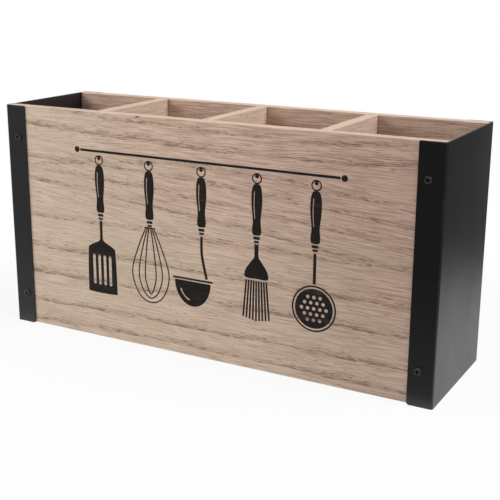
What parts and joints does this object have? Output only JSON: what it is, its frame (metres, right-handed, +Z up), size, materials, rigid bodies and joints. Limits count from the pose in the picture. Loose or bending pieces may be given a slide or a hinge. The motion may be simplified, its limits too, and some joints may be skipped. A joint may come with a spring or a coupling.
{
  "type": "utensil caddy",
  "caption": "Open-topped rectangular utensil caddy: wooden boards and dividers held together by bent steel end caps, for standing kitchen utensils upright on a worktop.",
  "frame": {"origin": "centre of the footprint on the table, on the plane of the end caps' lower edges", "axes": "+X along the caddy to the right seen from the front, +Y from the front to the back, +Z up"},
  "size_m": [0.35, 0.1034, 0.175],
  "materials": {
    "board_wood": "planed pale wood with horizontal grain, unvarnished",
    "cap_coat": "satin black powder coat on sheet steel",
    "screw_black": "blackened steel",
    "print_ink": "matt black screen print on bare wood"
  },
  "bodies": {
    "root": {"front_panel": "board_wood", "back_panel": "board_wood", "floor_panel": "board_wood", "divider_left": "board_wood", "divider_centre": "board_wood", "divider_right": "board_wood", "end_cap_left": "cap_coat", "end_cap_right": "cap_coat", "left_cap_front_screws": "screw_black", "left_cap_back_screws": "screw_black", "right_cap_front_screws": "screw_black", "right_cap_back_screws": "screw_black"}
  },
  "joints": []
}
